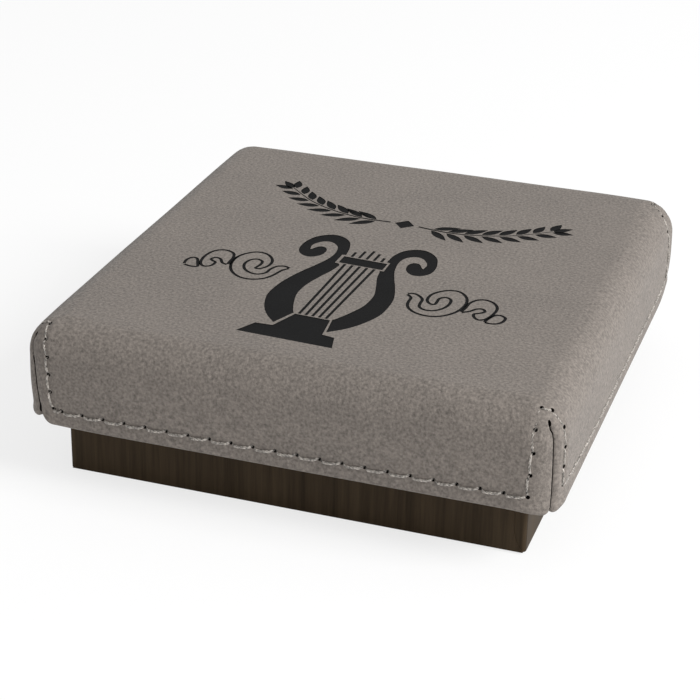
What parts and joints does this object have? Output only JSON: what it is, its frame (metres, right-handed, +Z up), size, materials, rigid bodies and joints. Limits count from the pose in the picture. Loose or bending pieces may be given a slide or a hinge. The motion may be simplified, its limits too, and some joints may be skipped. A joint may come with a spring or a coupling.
{
  "type": "medal box",
  "caption": "Low square presentation box for a medal: a padded leatherette lid with sewn hem and corners lifts off a paper-wrapped board tray with a velour recess.",
  "frame": {"origin": "middle of the underside, on the surface the box stands on", "axes": "+X along the front from left to right, +Y from front to back, +Z up and along the lid's lift"},
  "size_m": [0.0952, 0.102, 0.03],
  "materials": {
    "leatherette": "matte",
    "board": "matte",
    "tape": "matte",
    "padding": "matte",
    "thread": "satin",
    "lining": "matte",
    "wrap": "satin",
    "velour": "matte",
    "foam": "matte"
  },
  "bodies": {
    "base": {"base_wrap": "wrap", "base_bottom_sheet": "wrap", "base_floor_board": "board", "base_front_board": "board", "base_back_board": "board", "base_left_board": "board", "base_right_board": "board", "base_corner_tape": "tape", "insert_riser": "foam", "insert_foam": "foam", "insert_velour": "velour", "recess_card": "velour"},
    "lid": {"lid_leatherette": "leatherette", "hem_stitches": "thread", "corner_stitches": "thread", "lid_padding": "padding", "lid_top_board": "board", "lid_front_board": "board", "lid_back_board": "board", "lid_left_board": "board", "lid_right_board": "board", "lid_corner_tape": "tape", "lid_side_lining": "lining", "lid_ceiling_lining": "lining"}
  },
  "joints": [
    {"name": "lid_lift", "type": "slide", "parent": "base", "child": "lid", "axis": [0, 0, 1], "range_m": [0, 0.04]}
  ]
}
